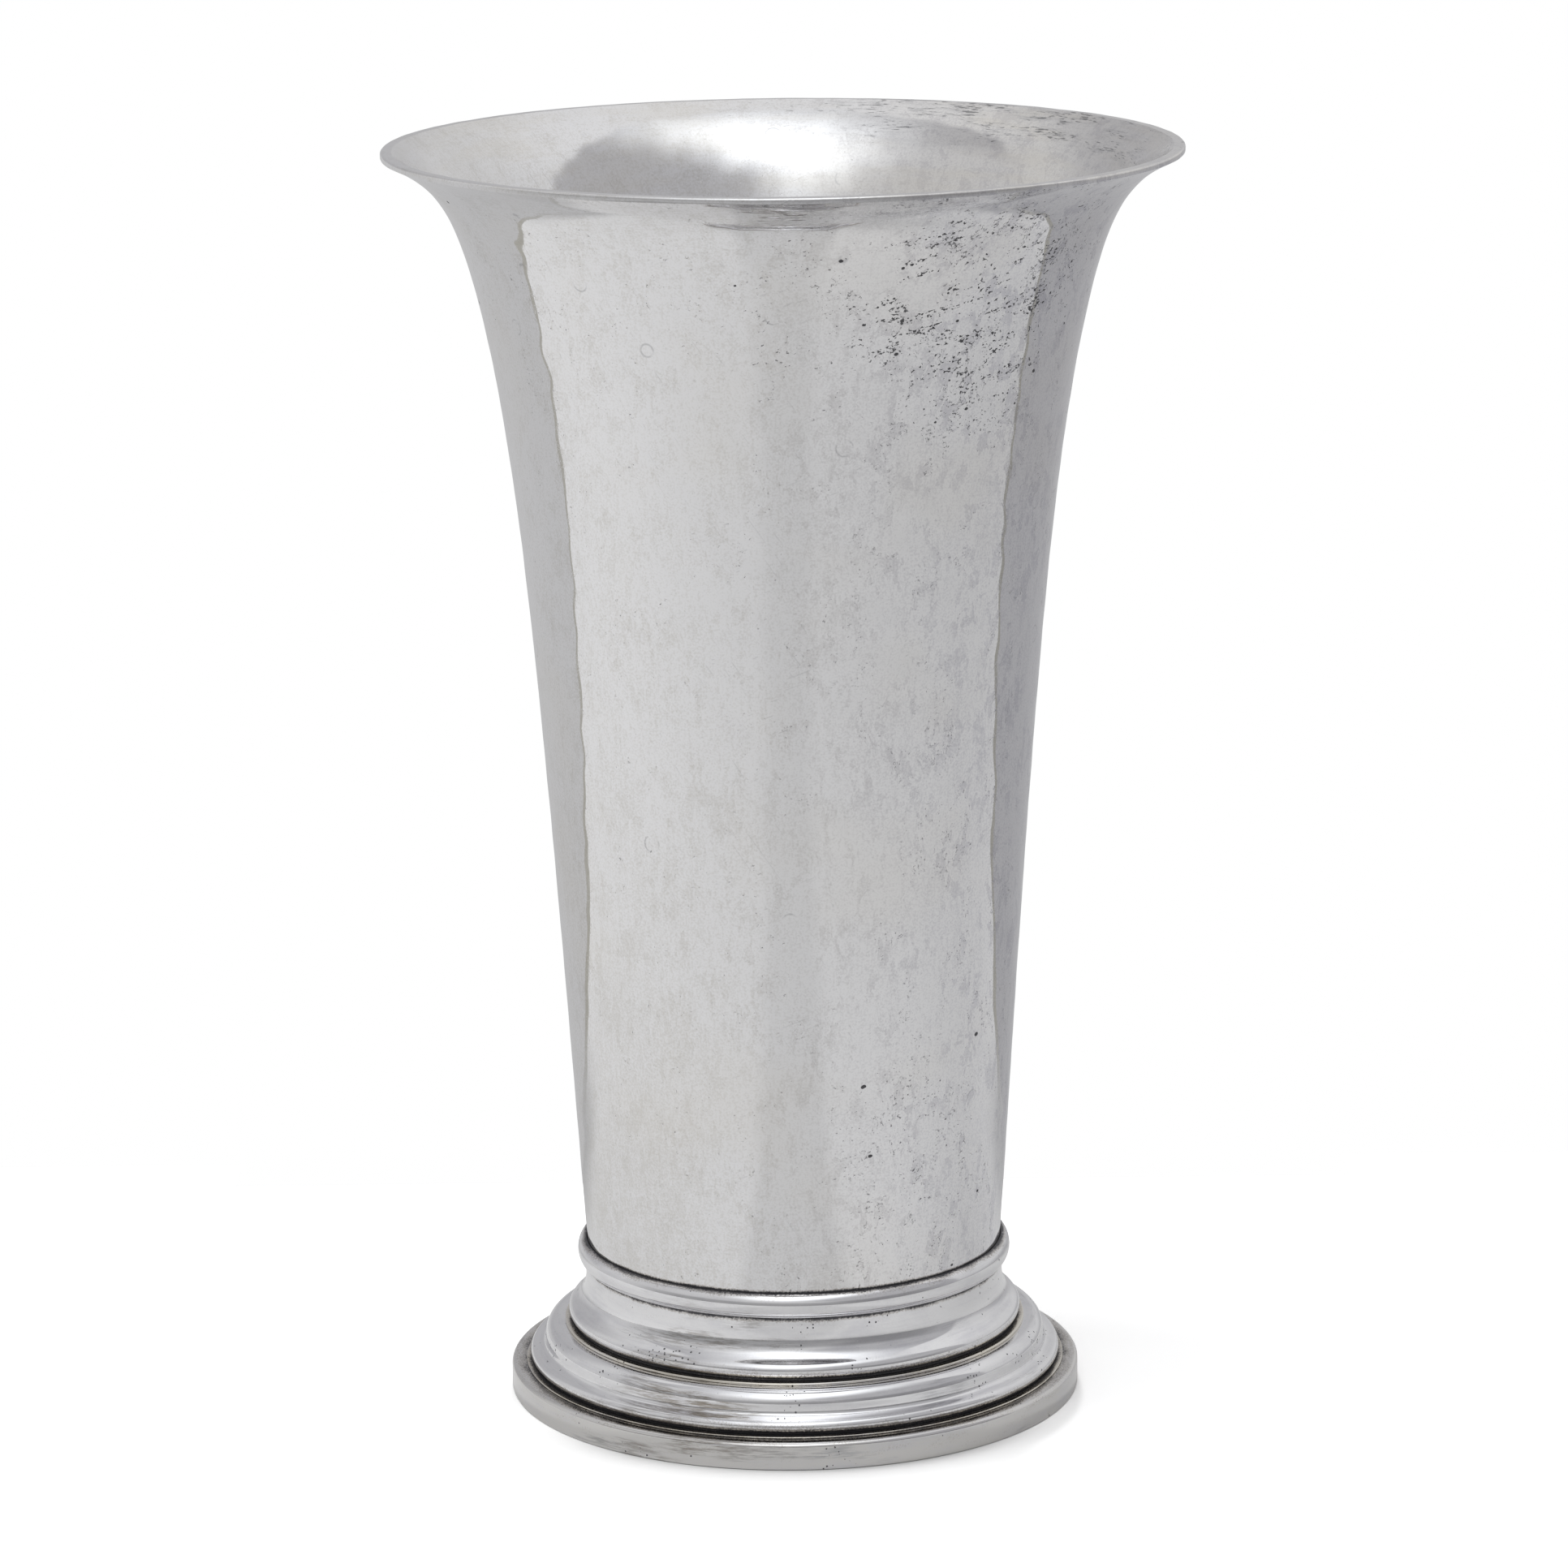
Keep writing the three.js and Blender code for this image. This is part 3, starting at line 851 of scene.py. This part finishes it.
class VASE_OT_upper_stage(bpy.types.Operator):
    """Turn the foot's upper moulding, a neck, a cavetto and a thin lip"""

    bl_idname = "vase.upper_stage"
    bl_label = "Upper Stage"

    def execute(self, context):
        foot, levels, finish = context.scene.vase_foot, foot_levels(context), context.scene.silver_finish
        top = top_of("upper_stage")
        neck, bore = levels["neck_radius"], levels["upper_bore"]
        arch_radius = reach_of("upper_stage") - foot.upper_nose
        width, height = arch_radius - neck, levels["neck"] - levels["upper_arch"]
        flange = Horn(context.scene.vase_body).inner_radius_at_base() - foot.flange_reach
        back = (width + foot.gauge, height + foot.gauge)
        curve = hollow(point(neck, levels["neck"]), point(arch_radius, levels["upper_arch"]),
                       foot.cavetto_drop, foot.cavetto_slide, foot.cavetto_slope, foot.arch_steps)
        lap, rebate = top - foot.bead_lap, bead_bore(context) - foot.seam
        outline = [point(bore, foot_of("upper_stage"))]
        outline += lip_over_heel(foot, "upper_stage", foot.upper_undercut, foot.upper_lip, foot.upper_nose)
        outline += curve[-2::-1]
        outline += [point(neck, lap), point(rebate, lap), point(rebate, top), point(flange, top)]
        outline += [point(flange, top - foot.gauge), point(neck - foot.gauge, top - foot.gauge)]
        outline += hollow_back(foot, arch_radius, levels["neck"], *back, bore)
        piece = mould(foot, "cavetto_stage", refined(outline, foot.run))
        groove = foot_of("upper_stage") + foot.upper_undercut / 2
        mark_grime(piece, [(neck, lap, finish.neck_grime),
                           (levels["upper_heel"], groove, finish.groove_grime)])
        dress(piece, "upper_stage", moulding_finish(context))
        return {"FINISHED"}


class VASE_OT_lower_stage(bpy.types.Operator):
    """Turn the foot's lower moulding, a ledge, a round shoulder, a hollow and a second lip"""

    bl_idname = "vase.lower_stage"
    bl_label = "Lower Stage"

    def execute(self, context):
        foot, levels, finish = context.scene.vase_foot, foot_levels(context), context.scene.silver_finish
        top, shoulder, ledge = top_of("lower_stage"), levels["shoulder"], levels["ledge_radius"]
        arch_radius = reach_of("lower_stage") - foot.lower_nose
        width = arch_radius - levels["shoulder_radius"]
        rise = shoulder - levels["lower_arch"]
        bore = levels["upper_bore"] - foot.seat_margin
        outer = (foot.shoulder_width, foot.shoulder_height)
        inner = (foot.shoulder_width - foot.gauge, foot.shoulder_height - foot.gauge)
        back = (width + foot.gauge, rise + foot.gauge)
        outline = [point(levels["lower_bore"], foot_of("lower_stage"))]
        outline += lip_over_heel(foot, "lower_stage", foot.lower_undercut, foot.lower_lip, foot.lower_nose)
        curve = hollow(point(levels["shoulder_radius"], shoulder), point(arch_radius, levels["lower_arch"]),
                       foot.cyma_drop, foot.cyma_slide, foot.cyma_slope, foot.arch_steps)
        outline += curve[-2::-1]
        outline += arc(ledge, shoulder, *outer, 0, 90, foot.arch_steps)[1:]
        outline += [point(bore, top), point(bore, top - foot.gauge)]
        outline += arc(ledge, shoulder, *inner, 90, 0, foot.arch_steps)
        outline += hollow_back(foot, arch_radius, shoulder, *back, levels["lower_bore"])[1:]
        piece = mould(foot, "shouldered_stage", refined(outline, foot.run))
        groove = foot_of("lower_stage") + foot.lower_undercut / 2
        mark_grime(piece, [(levels["upper_heel"], top, finish.ledge_grime),
                           (levels["lower_heel"], groove, finish.groove_grime)])
        dress(piece, "lower_stage", moulding_finish(context))
        return {"FINISHED"}


class VASE_OT_fillets(bpy.types.Operator):
    """Lay the two thin flat wires that show as bright lines in the grooves of the foot"""

    bl_idname = "vase.fillets"
    bl_label = "Fillet Wires"

    def execute(self, context):
        foot, levels, finish = context.scene.vase_foot, foot_levels(context), context.scene.silver_finish
        straw = moulded_silver(finish, "straw_silver", finish.warm, stained=0.3)
        for stage, reach in (("upper", finish.upper_grime), ("lower", finish.lower_grime)):
            node = f"{stage}_fillet"
            radius, bore = reach_of(node), levels[f"{stage}_bore"]
            base, top = foot_of(node), top_of(node)
            half = (top - base) / 2
            nose = arc(radius - half, base + half, half, half, -90, 90, steps=10)
            outline = refined([point(bore, base), *nose, point(bore, top)], foot.run)
            piece = turn(f"{stage}_fillet_wire", outline, foot.turns)
            hammer(piece, "CLOUDS", foot.waver_size, foot.waver_depth)
            mark_grime(piece, [(levels[f"{stage}_heel"], top, reach)])
            dress(piece, node, straw)
        return {"FINISHED"}


class VASE_OT_plinth(bpy.types.Operator):
    """Turn the plain ring with rounded edges that the vase stands on"""

    bl_idname = "vase.plinth"
    bl_label = "Plinth Ring"

    def execute(self, context):
        foot, levels, finish = context.scene.vase_foot, foot_levels(context), context.scene.silver_finish
        radius, top = reach_of("plinth_ring"), top_of("plinth_ring")
        bore, wall = levels["lower_bore"] - foot.seat_margin, radius - foot.plinth_wall
        low, high = foot.plinth_foot_round, foot.plinth_round
        under = top - foot.plinth_flange
        outline = [point(wall, 0), *arc(radius - low, low, low, low, -90, 0, steps=8)]
        outline += arc(radius - high, top - high, high, high, 0, 90, steps=12)
        outline += [point(bore, top), point(bore, under), point(wall, under)]
        piece = turn("plain_plinth", refined(outline, foot.run), foot.turns)
        wear_arrises(piece, foot.arris)
        mark_grime(piece, [(levels["lower_heel"], top, finish.plinth_grime)])
        # Painted shade in part: the plinth's darker film tint stands for the shadowed table it mirrors near
        # the foot, besides its real tarnish.
        plinth_film_and_shade = moulded_silver(finish, "plinth_silver", finish.film, stained=0.9)
        dress(piece, "plinth_ring", plinth_film_and_shade)
        return {"FINISHED"}


def table_finish(stage, name, tone):
    """Matt table top that the camera sees near the vase and from above, white with a soft shadow."""
    tree, seen = Tree(bpy.data.materials.new(name)), stage.table_seen
    across, along, _ = tree.split(tree.place)
    behind = tree.times(tree.remap(along, stage.fade_start, stage.table_back),
                        tree.remap(tree.math("ABSOLUTE", across), 2 * stage.rim_gap, stage.rim_gap))
    tone = tree.mix(behind, tone, stage.faded_colour)
    to_camera = tree.seen_by("Camera")

    # The soft shadow is faint beside and behind the vase, and full in front of it.
    contact = tree.add("ShaderNodeAmbientOcclusion")
    contact.inputs["Distance"].default_value = stage.contact_reach
    tree.feed(contact.inputs["Color"], seen)
    in_front = tree.remap(along, -0.03, -0.064, 0.05, 1.0)
    shaded = tree.mix(in_front, seen, contact.outputs["Color"])
    matt = tree.shader("ShaderNodeBsdfDiffuse", Color=tree.mix(to_camera, tone, shaded))

    # The table top is open under the foot, and unseen from below and far away.
    middle, opening = (0, 0, 0), reach_of("plinth_ring") - stage.hole_margin
    far = tree.blend(tree.near(middle, stage.seen_reach, stage.seen_core), 1.0, 0.0)
    unseen = tree.most(tree.add("ShaderNodeNewGeometry").outputs["Backfacing"], far)
    clear = tree.most(tree.times(to_camera, unseen), tree.near(middle, opening, 0.99 * opening))
    return tree.finish(tree.either(clear, matt, tree.shader("ShaderNodeBsdfTransparent")))


def lay_board(name, left, right, near, far, material):
    """A flat part of the table top, between two sides and two distances from the front."""
    bpy.ops.object.select_all(action="DESELECT")
    bpy.ops.mesh.primitive_plane_add(size=1.0, location=((left + right) / 2, (near + far) / 2, 0))
    board = bpy.context.object
    board.name = name
    board.scale = (right - left, far - near, 1)
    bpy.ops.object.transform_apply(location=True, rotation=True, scale=True)
    board.data.materials.append(material)


def lay_table(stage):
    """The table top and its darker far rim, whose edges the silver mirrors."""
    far, half, gap = stage.table_back, stage.table_half, stage.rim_gap
    top = table_finish(stage, "table_top", stage.table_colour)
    rim = table_finish(stage, "table_rim", stage.rim_colour)
    lay_board("table_top", -half, half, -stage.table_front, far, top)
    lay_board("left_rim", -half, -gap, far, far + stage.rim_width, rim)
    lay_board("right_rim", gap, half, far, far + stage.rim_width, rim)


def lamp_offset(tree, offset, half, skew):
    """How far a place lies from the lamp's middle, in half widths that a skew changes on one side."""
    return tree.most(tree.math("DIVIDE", offset, half), tree.math("DIVIDE", offset, -skew * half))


def ceiling_lamp(tree, stage, across, along, up):
    """The soft lamp that the silver mirrors, overhead and to the front, leaning left as it slopes down."""
    height = tree.math("MAXIMUM", up, 0.05)
    forward = tree.math("DIVIDE", tree.times(along, -1.0), height)
    middle = tree.math("MULTIPLY_ADD", forward, -stage.lamp_lean, stage.lamp_aside)
    aside = tree.math("SUBTRACT", tree.math("DIVIDE", across, height), middle)
    aside = lamp_offset(tree, aside, stage.lamp_width, skew=1.25)
    ahead = tree.math("SUBTRACT", forward, stage.lamp_forward)
    ahead = lamp_offset(tree, ahead, stage.lamp_depth, skew=0.85)
    spread = tree.plus(tree.times(aside, aside), tree.times(ahead, ahead))
    return tree.times(tree.math("EXPONENT", tree.times(spread, -1.0)), tree.remap(up, 0.0, 0.2))


# Directions from the vase to parts of the room that its silver mirrors.
BACK_RIGHT = (0.69, 0.55, 0.47)
BACK_LEFT = (-0.35, 0.9, 0.25)
OVERHEAD = (0.25, -0.05, 1.0)


def light_room(stage):
    """The room: white to the camera, pale with one soft lamp in the silver, a plain light on the rest."""
    world = bpy.data.worlds.new("pale_room")
    bpy.context.scene.world = world
    tree = Tree(world)
    direction = tree.add("ShaderNodeTexCoord").outputs["Generated"]
    across, along, up = tree.split(direction)

    def dot(place):
        """Cosine of the angle to a place in the room."""
        return tree.vector("DOT_PRODUCT", direction, Vector(place).normalized())

    def facing(place, low):
        """One towards a place, fading to zero where the cosine falls to low."""
        return tree.remap(dot(place), low, 1.0)

    below = tree.remap(across, -0.7, 0.7)
    edge = tree.remap(across, 0.2, 0.7, 0.19, 0.08)
    front = tree.remap(tree.math("SUBTRACT", along, edge), -0.03, 0.04, 1.0, 0.0)
    lit_side = tree.remap(dot(BACK_RIGHT), -0.25, 0.02, 1.0, 0.0)
    above = tree.most(tree.times(front, tree.blend(lit_side, 1.0, 0.2)), facing(BACK_LEFT, 0.75))
    dim = tree.blend(tree.remap(up, -0.1, 0.15), below, above)
    room = tree.mix(dim, stage.room_pale, stage.room_dim)
    ceiling = tree.times(facing(OVERHEAD, 0.4), tree.blend(front, 1.0, 0.0), stage.ceiling)
    low = tree.remap(tree.math("ABSOLUTE", tree.math("SUBTRACT", up, 0.1)), 0.1, 0.3, 1.0, 0.0)
    horizon = tree.times(low, tree.remap(along, 0.2, -0.5, 0.0, stage.horizon))
    level = tree.math("SUBTRACT", tree.remap(up, -0.5, 0.3, 0.84, 1.0), horizon)
    walls = tree.shader("ShaderNodeBackground", Color=room, Strength=tree.plus(level, ceiling))
    glow = tree.times(ceiling_lamp(tree, stage, across, along, up), front, stage.lamp)
    mirrored = tree.both(walls, tree.shader("ShaderNodeBackground", Color=stage.lamp_tint, Strength=glow))
    plain = tree.shader("ShaderNodeBackground", Color=(1, 1, 1), Strength=stage.room_light)
    white = tree.shader("ShaderNodeBackground", Color=(1, 1, 1), Strength=1.0)
    in_metal = tree.either(tree.seen_by("Glossy", "Transmission"), plain, mirrored)
    tree.finish(tree.either(tree.seen_by("Camera"), in_metal, white), "ShaderNodeOutputWorld")
    world.cycles.sampling_method = "NONE"


def hang_lamp(name, place, target, size, radiance):
    """A soft oblong lamp, unseen itself, whose face has the given radiance."""
    bpy.ops.object.light_add(type="AREA", location=place)
    lamp = bpy.context.object
    lamp.name = name
    lamp.data.shape = "RECTANGLE"
    lamp.data.size, lamp.data.size_y = size
    lamp.data.energy = radiance * math.pi * size[0] * size[1]
    lamp.rotation_euler = (Vector(target) - Vector(place)).to_track_quat("-Z", "Y").to_euler()
    lamp.visible_camera = lamp.visible_glossy = False


class VASE_OT_stage(bpy.types.Operator):
    """Lay the table top, light the room and set the camera"""

    bl_idname = "vase.stage"
    bl_label = "Stage"

    def execute(self, context):
        stage = context.scene.vase_stage
        lay_table(stage)
        light_room(stage)
        hang_lamp("overhead_lamp", place=(0.0, -0.4, 1.3), target=(0, -0.1, 0),
                  size=(0.9, 0.9), radiance=1.68)
        hang_lamp("left_lamp", place=(-0.95, -0.1, 0.95), target=(-0.3, -0.1, 0),
                  size=(0.8, 0.8), radiance=2.35)
        hang_lamp("back_lamp", place=(0.0, 1.2, 0.6), target=(0, 0, 0.05),
                  size=(0.16, 0.3), radiance=40.0)
        bpy.ops.object.camera_add()
        camera = context.object
        camera.name = "photo_camera"
        camera.data.sensor_width = 36.0
        camera.data.lens = stage.focal / stage.photo_width * camera.data.sensor_width
        back, up = math.cos(stage.pitch) * stage.distance, math.sin(stage.pitch) * stage.distance
        camera.location = (stage.aside, -back, stage.look_height + up)
        tilt = Matrix.Rotation(math.pi / 2 - stage.pitch, 3, "X") @ Matrix.Rotation(stage.roll, 3, "Z")
        camera.rotation_euler = tilt.to_euler()
        context.scene.camera = camera
        context.scene.view_settings.view_transform = "Standard"
        return {"FINISHED"}


SETTINGS = {
    "vase_body": VaseBody,
    "vase_foot": VaseFoot,
    "silver_finish": SilverFinish,
    "vase_stage": VaseStage,
}
PIECES = (VASE_OT_body_shell, VASE_OT_floor_disc, VASE_OT_collar_bead, VASE_OT_upper_stage,
          VASE_OT_lower_stage, VASE_OT_fillets, VASE_OT_plinth)


class VASE_PT_sidebar(bpy.types.Panel):
    """Lists the vase's pieces and its stage"""

    bl_idname = "VASE_PT_sidebar"
    bl_label = "Silver Vase"
    bl_space_type = "VIEW_3D"
    bl_region_type = "UI"
    bl_category = "Vase"

    def draw(self, context):
        for name, group in SETTINGS.items():
            for field in group.__annotations__:
                self.layout.prop(getattr(context.scene, name), field)
        for operator in (*PIECES, VASE_OT_stage):
            self.layout.operator(operator.bl_idname)


CLASSES = (*SETTINGS.values(), *PIECES, VASE_OT_stage, VASE_PT_sidebar)


def register():
    for item in CLASSES:
        bpy.utils.register_class(item)
    for name, group in SETTINGS.items():
        setattr(bpy.types.Scene, name, PointerProperty(type=group))


def unregister():
    for name in SETTINGS:
        delattr(bpy.types.Scene, name)
    for item in reversed(CLASSES):
        bpy.utils.unregister_class(item)


def main():
    register()
    bpy.ops.vase.stage()
    bpy.ops.vase.body_shell()
    bpy.ops.vase.floor_disc()
    bpy.ops.vase.collar_bead()
    bpy.ops.vase.upper_stage()
    bpy.ops.vase.lower_stage()
    bpy.ops.vase.fillets()
    bpy.ops.vase.plinth()


if __name__ == "__main__":
    main()
